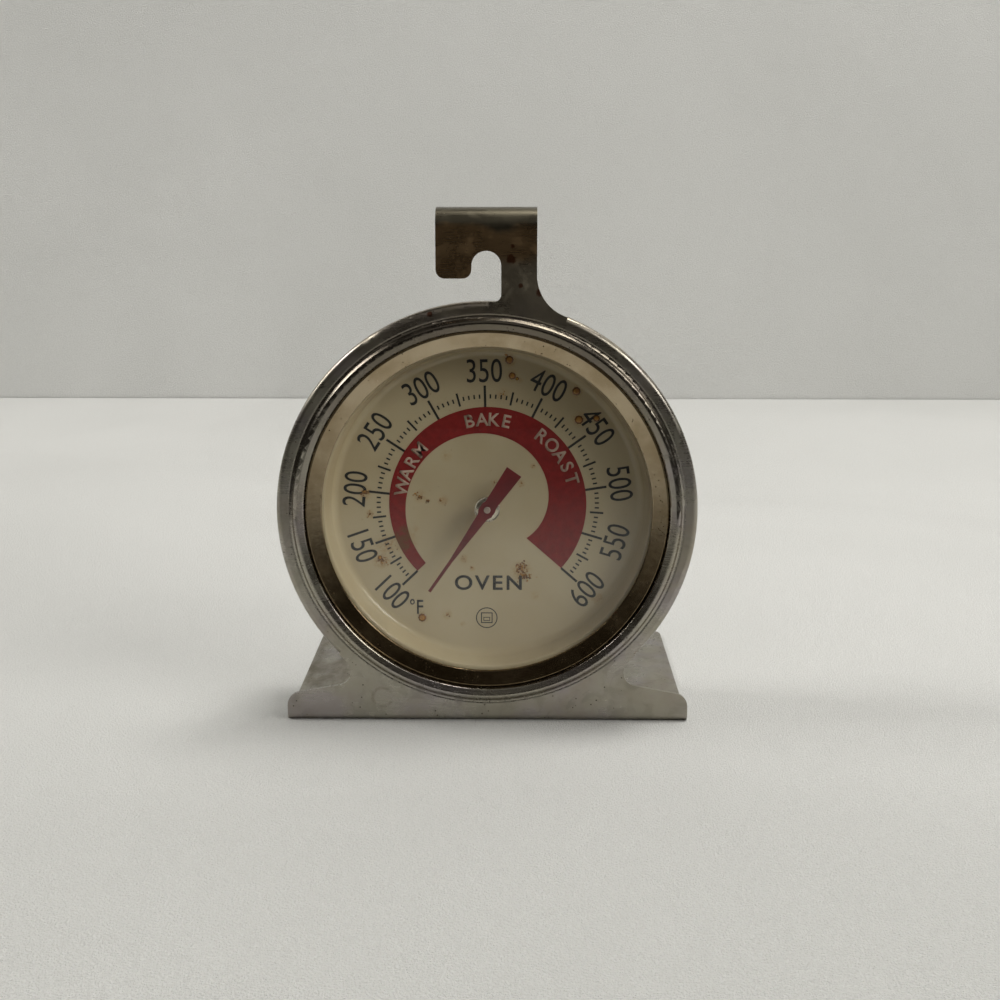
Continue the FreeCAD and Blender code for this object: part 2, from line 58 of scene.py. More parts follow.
class Shader:
    """A material's node tree with short calls for the nodes that this scene uses."""

    def __init__(self, name):
        self.material = bpy.data.materials.new(name)
        self.material.use_nodes = True
        self.tree = self.material.node_tree
        self.tree.nodes.clear()
        self.output = self.tree.nodes.new("ShaderNodeOutputMaterial")
        self.surface = self.tree.nodes.new("ShaderNodeBsdfPrincipled")
        self.link(self.surface.outputs[0], self.output.inputs["Surface"])
        coords = self.tree.nodes.new("ShaderNodeTexCoord")
        self.place = coords.outputs["Object"]

    def link(self, start, end):
        self.tree.links.new(start, end)

    def put(self, socket, value):
        """Links a socket or sets a plain value."""
        if isinstance(value, bpy.types.NodeSocket):
            self.link(value, socket)
        else:
            socket.default_value = value

    def set(self, **values):
        """Sets the main shader's inputs, named with _ for spaces."""
        for name, value in values.items():
            self.put(self.surface.inputs[name.replace("_", " ")], value)

    def math(self, operation, first, second=0.0):
        node = self.tree.nodes.new("ShaderNodeMath")
        node.operation = operation
        self.put(node.inputs[0], first)
        self.put(node.inputs[1], second)
        return node.outputs[0]

    def noise(self, scale, detail=3.0, roughness=0.55, place=None, distortion=0.0):
        node = self.tree.nodes.new("ShaderNodeTexNoise")
        self.put(node.inputs["Vector"], place or self.place)
        node.inputs["Scale"].default_value = scale
        node.inputs["Detail"].default_value = detail
        node.inputs["Roughness"].default_value = roughness
        node.inputs["Distortion"].default_value = distortion
        return node.outputs["Fac"]

    def cells(self, scale):
        """Distance to the nearest of many scattered points."""
        node = self.tree.nodes.new("ShaderNodeTexVoronoi")
        self.put(node.inputs["Vector"], self.place)
        node.inputs["Scale"].default_value = scale
        return node.outputs["Distance"]

    def stretch(self, x, y, z):
        """The object's coordinates scaled along each axis."""
        node = self.tree.nodes.new("ShaderNodeMapping")
        self.put(node.inputs["Vector"], self.place)
        node.inputs["Scale"].default_value = (x, y, z)
        return node.outputs[0]

    def axis(self, letter):
        node = self.tree.nodes.new("ShaderNodeSeparateXYZ")
        self.put(node.inputs[0], self.place)
        return node.outputs["XYZ".index(letter)]

    def ramp(self, value, low, high, start=0.0, end=1.0):
        """A smooth step of value from low to high, given as start to end."""
        node = self.tree.nodes.new("ShaderNodeMapRange")
        node.interpolation_type = "SMOOTHSTEP"
        self.put(node.inputs["Value"], value)
        node.inputs["From Min"].default_value = low
        node.inputs["From Max"].default_value = high
        node.inputs["To Min"].default_value = start
        node.inputs["To Max"].default_value = end
        return node.outputs[0]

    def mix(self, share, first, second):
        """Mixes two colours."""
        node = self.tree.nodes.new("ShaderNodeMix")
        node.data_type = "RGBA"
        self.put(node.inputs["Factor"], share)
        for name, value in (("A", first), ("B", second)):
            socket = next(s for s in node.inputs if s.name == name and s.type == "RGBA")
            self.put(socket, value if isinstance(value, bpy.types.NodeSocket) else (*value, 1.0))
        return next(s for s in node.outputs if s.type == "RGBA")

    def distance(self, point, stretch=(1, 1, 1)):
        """Distance of the surface point from a place, in metres, each axis scaled by stretch."""
        move = self.tree.nodes.new("ShaderNodeVectorMath")
        move.operation = "SUBTRACT"
        self.put(move.inputs[0], self.place)
        move.inputs[1].default_value = point
        scale = self.tree.nodes.new("ShaderNodeVectorMath")
        scale.operation = "MULTIPLY"
        self.link(move.outputs[0], scale.inputs[0])
        scale.inputs[1].default_value = stretch
        size = self.tree.nodes.new("ShaderNodeVectorMath")
        size.operation = "LENGTH"
        self.link(scale.outputs[0], size.inputs[0])
        return size.outputs["Value"]

    def bump(self, height, strength, distance):
        node = self.tree.nodes.new("ShaderNodeBump")
        self.put(node.inputs["Height"], height)
        node.inputs["Strength"].default_value = strength
        node.inputs["Distance"].default_value = distance
        self.link(node.outputs[0], self.surface.inputs["Normal"])


def dial_point(x, z):
    """A place on the dial, in millimetres right of and above the dial axis."""
    return (x * MM, DIAL_Y, AXIS_Z + z * MM)


# ---------------------------------------------------------------- materials

def pits(shader, scale, share, size):
    """Scattered small round pits: 1 inside a pit, 0 elsewhere."""
    near = shader.cells(scale)
    chance = shader.noise(scale * 0.23, 1.0)
    dot = shader.ramp(near, size, size * 0.55, 0.0, 1.0)
    return shader.math("MULTIPLY", dot, shader.ramp(chance, share, share + 0.03))


def steel(name, base, rough, grain=(260, 260, 9000), tint=None, bead=False):
    """Rolled stainless sheet: fine grain, water stains, pits and a little heat colour."""
    s = Shader(name)
    fine = s.noise(1.0, 2.0, 0.5, s.stretch(*grain))
    cloud = s.noise(85, 4.0, 0.6)
    blotch = s.noise(260, 5.0, 0.65, distortion=0.6)
    stain = s.ramp(blotch, 0.50, 0.62)
    warm = tuple(c * f for c, f in zip(base, (0.80, 0.72, 0.60)))
    colour = s.mix(s.ramp(cloud, 0.35, 0.7, 0.0, 0.55), base, warm)
    colour = s.mix(s.math("MULTIPLY", stain, 0.35), colour, tuple(c * 0.62 for c in base))
    haze = s.noise(130, 3.0, 0.5)
    straw = (base[0] * 0.98, base[1], base[2] * 0.86)
    violet = (base[0] * 0.93, base[1] * 0.90, base[2] * 1.02)
    colour = s.mix(s.ramp(haze, 0.42, 0.62, 0.0, 0.5), colour, straw)
    colour = s.mix(s.ramp(haze, 0.45, 0.35, 0.0, 0.5), colour, violet)
    if tint:
        colour = tint(s, colour)
    dots = s.math("MULTIPLY", pits(s, 1100, 0.58, 0.18), 0.75)
    colour = s.mix(dots, colour, (0.035, 0.022, 0.014))
    roughness = s.math("ADD", s.ramp(cloud, 0.3, 0.75, rough - 0.05, rough + 0.09),
                       s.math("MULTIPLY", stain, 0.10))
    if bead:
        away = s.distance((0, 0, AXIS_Z), (1, 0, 1))
        on_bead = s.ramp(away, *BEAD_EDGE, 0.74, 1.0)
        roughness = s.math("MULTIPLY", roughness, on_bead)
    roughness = s.math("ADD", roughness, s.ramp(fine, 0.3, 0.7, -0.03, 0.03))
    roughness = s.math("ADD", roughness, s.math("MULTIPLY", dots, 0.4))
    height = s.math("ADD", s.math("MULTIPLY", fine, 0.5), s.math("MULTIPLY", blotch, 0.35))
    height = s.math("SUBTRACT", height, s.math("MULTIPLY", dots, 1.5))
    s.bump(height, 0.35, 0.00004)
    s.set(Base_Color=colour, Metallic=1.0, Roughness=roughness)
    return s.material


# Rust spots on the stand: right of the axis, above the table, and radius (mm).
RUST = [
    (9.0, 76.0, 1.0), (4.1, 81.4, 0.9), (4.4, 83.6, 0.5), (5.8, 77.0, 0.6), (-9.6, 72.2, 0.5),
    (-20.2, 68.0, 0.5),
]


def stand_tint(s, colour):
    """Heat colour deepening into the hanging tab, painted shade on the bead's upper half and on the top fold,
    rust spots, the base plate's grime made stronger on the left as painted shade, and a stain.
    """
    height = s.axis("Z")
    cloud_map = s.noise(520, 4.0, 0.7)
    ragged = s.math("MULTIPLY", s.math("SUBTRACT", cloud_map, 0.5), 1.6 * MM)
    wander = s.math("MULTIPLY", s.math("SUBTRACT", s.noise(120, 3.0), 0.5), 0.005)
    level = s.math("ADD", height, wander)
    upper = s.ramp(level, 0.058, 0.0815)
    colour = s.mix(s.math("MULTIPLY", upper, 0.7), colour, (0.34, 0.29, 0.21))
    away = s.distance((0, 0, AXIS_Z), (1, 0, 1))
    # Painted shade: the bead's upper half is darkened.
    upper_bead_shade = s.math("MULTIPLY", s.ramp(away, *BEAD_EDGE, 0.75, 0.0), s.ramp(level, 0.035, 0.066))
    colour = s.mix(upper_bead_shade, colour, (0.105, 0.088, 0.066))
    neck_shift = s.ramp(s.axis("X"), -0.003, 0.002, 0.0, 0.0045)
    tab = s.ramp(s.math("SUBTRACT", level, neck_shift), 0.0755, 0.0785)
    colour = s.mix(s.math("MULTIPLY", tab, 0.85), colour, (0.42, 0.27, 0.13))
    # Painted shade along the top fold of the hanging tab.
    fold_shade = s.ramp(level, 0.0860, 0.0872)
    colour = s.mix(s.math("MULTIPLY", fold_shade, 0.9), colour, (0.085, 0.085, 0.065))
    for x, z, radius in RUST:
        near = s.math("ADD", s.distance((x * MM, FRONT_Y, z * MM)), ragged)
        colour = s.mix(s.ramp(near, 0.5 * radius * MM, radius * MM, 0.85, 0.0), colour, (0.13, 0.038, 0.014))
    behind = s.ramp(s.axis("Y"), FRONT_Y + 0.001, FRONT_Y + 0.002)
    plate = s.math("MULTIPLY", s.ramp(height, 0.7 * MM, 1.0 * MM, 1.0, 0.0), behind)
    grime = s.ramp(s.noise(1.0, 4.0, 0.6, s.stretch(210, 70, 210), distortion=0.4), 0.34, 0.68)
    # Grime on the base plate, with painted shade making it stronger towards the left.
    left_shade = s.ramp(s.axis("X"), -0.005, 0.012, 1.0, 0.35)
    colour = s.mix(s.math("MULTIPLY", s.math("MULTIPLY", plate, grime), left_shade), colour, (0.15, 0.125, 0.085))
    ring_mark = s.distance((-18.6 * MM, FRONT_Y, 4.3 * MM))
    wobble = s.math("MULTIPLY", s.noise(700, 3.0, 0.7), 0.9 * MM)
    edge = s.math("ABSOLUTE", s.math("SUBTRACT", s.math("ADD", ring_mark, wobble), 2.2 * MM))
    ring_line = s.ramp(edge, 0.05 * MM, 0.45 * MM, 0.45, 0.0)
    ring_share = s.math("MULTIPLY", ring_line, s.ramp(cloud_map, 0.35, 0.6))
    return s.mix(ring_share, colour, (0.20, 0.17, 0.13))


def band_steel():
    """Polished bezel band with straw and brown heat colour, darker brown towards the bottom as painted shade,
    and dust specks.
    """
    s = Shader("tinted_steel")
    cloud = s.noise(140, 4.0, 0.6)
    streak = s.noise(1.0, 3.0, 0.6, s.stretch(900, 120, 900))
    height = s.axis("Z")
    straw = s.mix(s.ramp(cloud, 0.35, 0.65), (0.46, 0.38, 0.26), (0.37, 0.29, 0.18))
    shaded_brown = s.mix(s.ramp(streak, 0.3, 0.7), (0.26, 0.20, 0.12), (0.17, 0.12, 0.065))
    # Painted shade: the band turns from straw to darker brown towards the bottom.
    colour = s.mix(s.ramp(height, 0.018, 0.058, 1.0, 0.0), straw, shaded_brown)
    dots = s.math("MULTIPLY", pits(s, 1500, 0.55, 0.22), 0.8)
    colour = s.mix(dots, colour, (0.03, 0.018, 0.01))
    dust = s.math("MULTIPLY", pits(s, 2300, 0.60, 0.15), 0.5)
    colour = s.mix(dust, colour, (0.75, 0.70, 0.60))
    s.bump(s.math("ADD", cloud, streak), 0.25, 0.00003)
    s.set(Base_Color=colour, Metallic=1.0,
          Roughness=s.math("ADD", s.ramp(cloud, 0.3, 0.7, 0.14, 0.24), s.math("MULTIPLY", dots, 0.4)))
    return s.material


# Faint brown marks baked on the dial: right of and above the axis, radius (mm) and strength.
MARKS = [
    (-7.4, 8.8, 1.1, 0.5), (19.7, -17.2, 1.5, 0.8), (-7.4, -20.4, 1.0, 0.7), (-4.5, -22.2, 0.6, 0.6),
    (8.4, -16.8, 0.9, 0.5), (5.6, 22.4, 0.7, 0.6), (2.7, 19.8, 1.3, 0.5), (8.1, 7.0, 0.6, 0.6),
    (1.2, 4.1, 0.7, 0.6), (6.0, 3.9, 0.7, 0.6), (-21.9, 2.1, 1.3, 1.0), (-21.1, -1.8, 0.9, 0.8),
    (-18.2, -7.4, 2.2, 0.7), (-19.0, -10.3, 1.7, 0.9), (-14.9, -6.6, 2.3, 1.0), (-12.1, 1.5, 1.2, 0.8),
    (-8.0, 0.8, 1.0, 0.8), (-4.3, -10.0, 0.9, 0.6), (-2.8, -11.8, 0.6, 0.6), (6.1, -12.1, 1.9, 1.0),
    (-13.0, -4.5, 0.7, 0.5), (3.9, 25.9, 1.3, 0.9), (4.4, 23.1, 1.1, 0.8), (15.6, 20.4, 1.2, 0.8),
    (16.3, 15.4, 1.4, 0.9), (19.2, 15.6, 1.0, 0.8), (-11.9, -21.0, 1.1, 0.7),
]
# Amber drops baked on the dial: right of and above the axis, and radius (mm).
DROPS = [
    (3.83, 25.9, 0.72), (3.3, 26.9, 0.35), (4.34, 23.1, 0.62), (15.6, 20.4, 0.72), (16.1, 15.35, 0.74),
    (19.2, 15.6, 0.58), (-11.9, -21.0, 0.74), (-19.4, -9.8, 0.40), (5.2, 22.6, 0.3),
]
# Crumbs baked on the dial: middle and spread (mm), their number and size (mm).
CRUMBS = [
    (6.0, -11.6, 0.9, 60, 0.17), (6.4, -13.0, 1.1, 45, 0.17), (7.6, -13.4, 1.4, 14, 0.10),
    (-21.9, 2.1, 0.8, 30, 0.14), (-21.1, -1.8, 0.6, 14, 0.12), (-19.0, -10.2, 1.2, 46, 0.12),
    (-17.6, -7.4, 1.2, 18, 0.09),
    (-12.9, 1.9, 0.5, 12, 0.12), (-11.9, 1.3, 0.5, 14, 0.13), (-10.8, 0.6, 0.5, 12, 0.12),
    (-8.4, 0.7, 0.7, 14, 0.11), (-4.3, -10.0, 0.5, 10, 0.09), (-3.0, -11.6, 0.5, 9, 0.09),
    (2.7, 19.8, 1.0, 12, 0.08), (1.2, 4.1, 0.5, 8, 0.09), (6.0, 3.9, 0.5, 9, 0.09), (8.1, 7.0, 0.4, 5, 0.1),
    (-7.4, -20.6, 0.6, 9, 0.1), (0.0, 0.0, 25.0, 70, 0.06),
]


def enamel():
    """Cream gloss enamel: slight mottling, yellowing, brown baked-on marks and fine dust."""
    s = Shader("dial_enamel")
    cloud = s.noise(60, 3.0, 0.5)
    fine = s.noise(700, 3.0, 0.6)
    colour = s.mix(s.ramp(cloud, 0.35, 0.65), (0.54, 0.455, 0.30), (0.50, 0.41, 0.26))
    colour = s.mix(s.ramp(fine, 0.62, 0.78, 0.0, 0.15), colour, (0.36, 0.28, 0.16))
    ragged = s.noise(1500, 5.0, 0.75, distortion=0.8)
    grit = s.noise(4200, 3.0, 0.7)
    halo = None
    for x, z, radius, strength in MARKS:
        away = s.distance(dial_point(x, z), (1, 0.2, 1))
        near = s.ramp(away, 0.1 * radius * MM, 1.3 * radius * MM, strength, 0.0)
        halo = near if halo is None else s.math("MAXIMUM", halo, near)
    soft = s.math("MULTIPLY", halo, s.ramp(ragged, 0.36, 0.60))
    colour = s.mix(s.math("MULTIPLY", soft, 0.75), colour, (0.40, 0.215, 0.06))
    crisp = s.math("MULTIPLY", s.ramp(halo, 0.25, 0.8), s.ramp(grit, 0.58, 0.66))
    crisp = s.math("MULTIPLY", crisp, s.ramp(ragged, 0.47, 0.57))
    colour = s.mix(crisp, colour, (0.21, 0.09, 0.018))
    s.bump(s.math("ADD", fine, s.math("MULTIPLY", crisp, 1.5)), 0.25, 0.00003)
    s.set(Base_Color=colour, Roughness=s.math("ADD", s.ramp(cloud, 0.3, 0.7, 0.10, 0.18),
                                              s.math("MULTIPLY", soft, 0.25)))
    s.surface.inputs["Specular IOR Level"].default_value = 0.5
    return s.material


def printed(name, colour, worn, smear=None):
    """Screen-printed ink on the dial: slightly uneven, thinly worn, with an optional burnt smear."""
    s = Shader(name)
    cover = s.noise(900, 4.0, 0.6)
    fleck = s.noise(3800, 3.0, 0.7)
    shade = s.mix(s.ramp(cover, 0.3, 0.7), colour, tuple(c * 0.78 for c in colour))
    shade = s.mix(s.ramp(fleck, 0.66, 0.74, 0.0, worn), shade, (0.40, 0.34, 0.25))
    if smear:
        away = s.distance(dial_point(*smear), (1, 0, 0.8))
        burnt = s.math("MULTIPLY", s.ramp(away, 1.2 * MM, 2.5 * MM, 0.85, 0.0),
                       s.ramp(s.noise(620, 5.0, 0.7), 0.36, 0.52))
        shade = s.mix(burnt, shade, (0.13, 0.055, 0.014))
    s.bump(cover, 0.2, 0.00002)
    s.surface.inputs["Specular IOR Level"].default_value = 0.2
    s.set(Base_Color=shade, Roughness=s.ramp(fleck, 0.3, 0.7, 0.35, 0.5))
    return s.material


def glass():
    """Clear flat glass; lamps reach what is behind it."""
    s = Shader("lens_glass")
    smear = s.noise(90, 4.0, 0.6)
    haze = s.ramp(smear, 0.45, 0.75, 0.0, 0.02)
    s.set(Base_Color=(0.97, 0.975, 0.96, 1.0), Roughness=haze)
    s.surface.inputs["Transmission Weight"].default_value = 1.0
    s.surface.inputs["IOR"].default_value = 1.42
    s.surface.inputs["Specular IOR Level"].default_value = 0.08
    s.bump(smear, 0.01, 0.00002)
    clear = s.tree.nodes.new("ShaderNodeBsdfTransparent")
    clear.inputs["Color"].default_value = (0.93, 0.94, 0.92, 1.0)
    path = s.tree.nodes.new("ShaderNodeLightPath")
    blend = s.tree.nodes.new("ShaderNodeMixShader")
    s.link(path.outputs["Is Shadow Ray"], blend.inputs[0])
    s.link(s.surface.outputs[0], blend.inputs[1])
    s.link(clear.outputs[0], blend.inputs[2])
    s.link(blend.outputs[0], s.output.inputs["Surface"])
    return s.material


def metal(name, colour, rough, wear=0.1):
    """Turned or polished metal with faint mottling."""
    s = Shader(name)
    cloud = s.noise(420, 4.0, 0.6)
    turn = s.noise(1.0, 2.0, 0.5, s.stretch(300, 5000, 300))
    shade = s.mix(s.ramp(cloud, 0.4, 0.7, 0.0, wear * 4), colour, tuple(c * 0.6 for c in colour))
    s.bump(s.math("ADD", turn, cloud), 0.2, 0.00002)
    roughness = s.math("ADD", s.ramp(cloud, 0.3, 0.7, rough, rough + wear), s.ramp(turn, 0.3, 0.7, 0.0, 0.04))
    s.set(Base_Color=shade, Metallic=1.0, Roughness=roughness)
    return s.material


def paint(name, colour, rough):
    """Thin satin paint with scuffs."""
    s = Shader(name)
    cloud = s.noise(350, 4.0, 0.6)
    scuff = s.noise(1.0, 3.0, 0.7, s.stretch(2500, 2500, 900))
    shade = s.mix(s.ramp(cloud, 0.3, 0.7), colour, tuple(c * 0.7 for c in colour))
    shade = s.mix(s.ramp(scuff, 0.66, 0.76, 0.0, 0.5), shade, tuple(min(1, c * 2.2 + 0.03) for c in colour))
    s.bump(scuff, 0.15, 0.00002)
    s.set(Base_Color=shade, Roughness=s.ramp(cloud, 0.3, 0.7, rough, rough + 0.12))
    return s.material


def fibre(name, colour):
    """Pressed heat-proof fibre."""
    s = Shader(name)
    weave = s.noise(2600, 4.0, 0.7)
    s.bump(weave, 0.5, 0.00006)
    s.set(Base_Color=s.mix(s.ramp(weave, 0.3, 0.7), colour, tuple(c * 0.7 for c in colour)),
          Roughness=s.ramp(weave, 0.3, 0.7, 0.75, 0.9))
    return s.material


def dress(name, material):
    """Gives a CAD node its material."""
    data = nodes[name].data
    data.materials.clear()
    data.materials.append(material)


stand_steel = steel("stainless_sheet", (0.38, 0.355, 0.32), 0.30, tint=stand_tint, bead=True)
case_steel = steel("case_steel", (0.50, 0.485, 0.46), 0.26, grain=(300, 9000, 300))
rivet_steel = metal("rivet_steel", (0.58, 0.565, 0.54), 0.25)
brass = metal("brass", (0.60, 0.44, 0.20), 0.30)
FINISHES = {
    "stand_frame": stand_steel,
    "case_cup": case_steel,
    "bridge": case_steel,
    "bezel_ring": band_steel(),
    "lens": glass(),
    "lens_gasket": fibre("gasket_fibre", (0.55, 0.50, 0.42)),
    "dial_pan": enamel(),
    "dial_spring": metal("spring_steel", (0.40, 0.40, 0.40), 0.28),
    "pointer": paint("pointer_paint", (0.16, 0.006, 0.009), 0.42),
    "pointer_hub": metal("bright_collar", (0.66, 0.61, 0.50), 0.20, 0.06),
    "staff": metal("staff_steel", (0.62, 0.52, 0.45), 0.34),
    "bridge_rivets": rivet_steel,
    "coil_stud": rivet_steel,
    "staff_washer": brass,
    "coil_collet": brass,
    "front_bushing": brass,
    "rear_bushing": brass,
    "bimetal_coil": metal("bimetal", (0.50, 0.45, 0.38), 0.35),
}
for node_name, finish in FINISHES.items():
    dress(node_name, finish)


# ---------------------------------------------------------------- dial printing

INK_LIFT = 0.03 * MM          # printing stands this far in front of the enamel
INK_DEPTH = 0.012 * MM
TICK_ANGLE_AT_350 = 91.3      # degrees anticlockwise from the right
SCALE_MIDDLE = 350
SCALE_HALF = 250
SCALE_SWEEP = 139.8           # degrees of turn for half the scale, before its ends draw in
SCALE_BEND = 7.1              # degrees by which the ends draw in
BAND_OUTER = 17.6
TICK_END = 21.4
CAP_SHARE = 0.73              # height of a capital in the font, for a size of 1


def dial_angle(temperature):
    """Angle of a temperature on the dial, degrees anticlockwise from the right."""
    u = (temperature - SCALE_MIDDLE) / SCALE_HALF
    return TICK_ANGLE_AT_350 - (SCALE_SWEEP * u - SCALE_BEND * u ** 3)


def on_dial(radius, degrees, lift=INK_LIFT):
    """Place on the dial's flat at a radius in millimetres."""
    angle = math.radians(degrees)
    return Vector((radius * MM * math.cos(angle), DIAL_Y - lift, AXIS_Z + radius * MM * math.sin(angle)))


def new_piece(name, mesh, material, body="root"):
    piece = bpy.data.objects.new(name, mesh)
    bpy.context.scene.collection.objects.link(piece)
    mesh.materials.clear()
    mesh.materials.append(material)
    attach(piece, body)
    return piece


def thicken(bm, faces, depth):
    """Turns flat faces on the dial into thin ink with a front, a back and sides."""
    made = bmesh.ops.extrude_face_region(bm, geom=faces)
    moved = [g for g in made["geom"] if isinstance(g, bmesh.types.BMVert)]
    bmesh.ops.translate(bm, verts=moved, vec=(0, -depth, 0))
    bmesh.ops.recalc_face_normals(bm, faces=bm.faces[:])


def red_band():
    """Red arc from 100 to 600 degrees, its inner edge drawing in towards 600."""
    bm = bmesh.new()
    steps = 220
    start, end = dial_angle(100), dial_angle(600)
    rows = []
    for i in range(steps + 1):
        share = i / steps
        degrees = start + (end - start) * share
        inner = 15.5 - 5.2 * share - 1.06 * share ** 6
        rows.append([bm.verts.new(on_dial(inner, degrees)), bm.verts.new(on_dial(BAND_OUTER, degrees))])
    faces = [bm.faces.new((a[0], a[1], b[1], b[0])) for a, b in zip(rows, rows[1:])]
    thicken(bm, faces, INK_DEPTH)
    mesh = bpy.data.meshes.new("red_scale_band")
    bm.to_mesh(mesh)
    bm.free()
    red_ink = printed("red_ink", (0.25, 0.016, 0.015), 0.2, smear=(-14.9, -6.4))
    return new_piece("red_scale_band", mesh, red_ink)


def ticks():
    """Major ticks every 50, middle ones every 25 and short ones every 5 degrees."""
    bm = bmesh.new()
    for temperature in range(100, 601, 5):
        degrees = dial_angle(temperature)
        if temperature % 50 == 0:
            inner, outer, width = BAND_OUTER, TICK_END, 0.42
        elif temperature % 25 == 0:
            inner, outer, width = 18.3, 20.7, 0.36
        else:
            inner, outer, width = 19.1, 19.85, 0.28
        along = on_dial(1, degrees) - on_dial(0, degrees)
        side = Vector((-along.z, 0, along.x)) * (width / 2)
        near, far = on_dial(inner, degrees), on_dial(outer, degrees)
        corners = [bm.verts.new(p) for p in (near - side, far - side, far + side, near + side)]
        thicken(bm, [bm.faces.new(corners)], INK_DEPTH)
    mesh = bpy.data.meshes.new("scale_ticks")
    bm.to_mesh(mesh)
    bm.free()
    return new_piece("scale_ticks", mesh, black_ink)


def lettering(name, text, height, middle, degrees, material, squeeze=0.62, weight=0.0, spacing=1.0):
    """One word or number as thin ink: cap height and middle in millimetres, degrees tilts its top."""
    curve = bpy.data.curves.new(name, "FONT")
    curve.body = text
    curve.align_x = "CENTER"
    curve.align_y = "CENTER"
    curve.size = height * MM / CAP_SHARE
    curve.space_character = spacing
    curve.offset = weight * MM
    curve.resolution_u = 6
    holder = bpy.data.objects.new(name, curve)
    bpy.context.scene.collection.objects.link(holder)
    bpy.context.view_layer.update()
    mesh = bpy.data.meshes.new_from_object(holder.evaluated_get(bpy.context.evaluated_depsgraph_get()))
    bpy.data.objects.remove(holder)
    low = Vector((min(v.co.x for v in mesh.vertices), min(v.co.y for v in mesh.vertices), 0))
    high = Vector((max(v.co.x for v in mesh.vertices), max(v.co.y for v in mesh.vertices), 0))
    mesh.transform(Matrix.Translation(-(low + high) / 2))
    mesh.transform(Matrix.Diagonal((squeeze, 1, 1, 1)))
    turn = Matrix.Rotation(math.radians(degrees - 90), 4, "Z")
    upright = Matrix.Rotation(math.radians(90), 4, "X")
    mesh.transform(Matrix.Translation(middle) @ upright @ turn)
    bm = bmesh.new()
    bm.from_mesh(mesh)
    thicken(bm, bm.faces[:], INK_DEPTH)
    bm.to_mesh(mesh)
    bm.free()
    mesh.name = name
    return new_piece(name, mesh, material)


NUMBER_LIFT = Vector((0, 0, 0.2 * MM))


def numerals():
    """The scale's numbers: tops outward, the lowest four turned to read from inside."""
    for temperature in range(100, 601, 50):
        degrees = dial_angle(temperature)
        upright = degrees if 200 <= temperature <= 500 else degrees + 180
        middle = on_dial(23.8, degrees) + NUMBER_LIFT
        lettering(f"number_{temperature}", str(temperature), 4.3, middle, upright, black_ink, squeeze=0.75)


def curved_word(name, text, radius, start, end, height):
    """A short word on the red band, letter by letter along the arc."""
    count = len(text)
    for i, letter in enumerate(text):
        degrees = start + (end - start) * i / (count - 1)
        lettering(f"{name}_{i + 1}", letter, height, on_dial(radius, degrees, 2.2 * INK_LIFT), degrees,
                  pale_ink, squeeze=0.98, weight=0.07)


def small_marks():
    """Unit sign, a plain word, and a plain oven sign in a ring."""
    lettering("unit_mark", "°F", 2.75, on_dial_xz(-12.9, -18.9), 90, black_ink, squeeze=0.8, weight=0.03)
    lettering("plain_word", "OVEN", 2.75, on_dial_xz(0.1, -14.4), 90, black_ink, squeeze=1.1, weight=0.06,
              spacing=1.2)
    ring_sign()


def on_dial_xz(x, z):
    return Vector(dial_point(x, z)) - Vector((0, INK_LIFT, 0))


def ring_sign():
    """A thin ring with a small plain oven door in it."""
    centre = on_dial_xz(-0.2, -21.0)
    bm = bmesh.new()

    def frame_shape(outer, inner):
        rings = [[bm.verts.new(centre + Vector((x * MM, 0, z * MM))) for x, z in outline]
                 for outline in (outer, inner)]
        count = len(rings[0])
        faces = []
        for i in range(count):
            j = (i + 1) % count
            faces.append(bm.faces.new((rings[0][i], rings[0][j], rings[1][j], rings[1][i])))
        thicken(bm, faces, INK_DEPTH)

    def loop(radius):
        turns = [2 * math.pi * i / 64 for i in range(64)]
        return [(radius * math.cos(turn), radius * math.sin(turn)) for turn in turns]

    def box_loop(x, z, aside=0.0):
        return [(-x, -z + aside), (x, -z + aside), (x, z + aside), (-x, z + aside)]

    frame_shape(loop(1.95), loop(1.78))
    frame_shape(box_loop(1.05, 1.0), box_loop(0.88, 0.83))
    frame_shape(box_loop(0.6, 0.36, -0.22), box_loop(0.48, 0.24, -0.22))
    mesh = bpy.data.meshes.new("oven_sign")
    bm.to_mesh(mesh)
    bm.free()
    return new_piece("oven_sign", mesh, black_ink)


black_ink = printed("black_ink", (0.030, 0.030, 0.030), 0.22)
pale_ink = printed("pale_ink", (0.52, 0.38, 0.30), 0.05)
red_band()
ticks()
numerals()
small_marks()
curved_word("word_warm", "WARM", 15.6, 168.0, 140.5, 2.35)
curved_word("word_bake", "BAKE", 15.4, 101.9, 77.4, 2.35)
curved_word("word_roast", "ROAST", 15.7, 52.2, 17.5, 2.4)


# ---------------------------------------------------------------- baked-on specks

def dome(bm, x, z, radius, height, corners, rings, ragged):
    """A low mound of baked residue on the dial; x, z and radius in millimetres."""
    levels = []
    for level in range(rings):
        share = level / rings
        rise = height * math.sin(share * math.pi / 2)
        reach = radius * math.cos(share * math.pi / 2) ** 0.8
        levels.append([bm.verts.new(on_dial(0, 0) + Vector((
            (x + reach * wobble * math.cos(2 * math.pi * k / corners)) * MM, -rise * MM,
            (z + reach * wobble * math.sin(2 * math.pi * k / corners)) * MM)))
            for k, wobble in enumerate(ragged)])
    top = bm.verts.new(on_dial(0, 0) + Vector((x * MM, -height * MM, z * MM)))
    for low, high in zip(levels, levels[1:]):
        for k in range(corners):
            j = (k + 1) % corners
            bm.faces.new((low[k], low[j], high[j], high[k]))
    for k in range(corners):
        bm.faces.new((levels[-1][k], levels[-1][(k + 1) % corners], top))
    bm.faces.new(levels[0][::-1])


def finish_mounds(bm, name, material):
    bmesh.ops.recalc_face_normals(bm, faces=bm.faces[:])
    mesh = bpy.data.meshes.new(name)
    bm.to_mesh(mesh)
    bm.free()
    for face in mesh.polygons:
        face.use_smooth = True
    return new_piece(name, mesh, material)


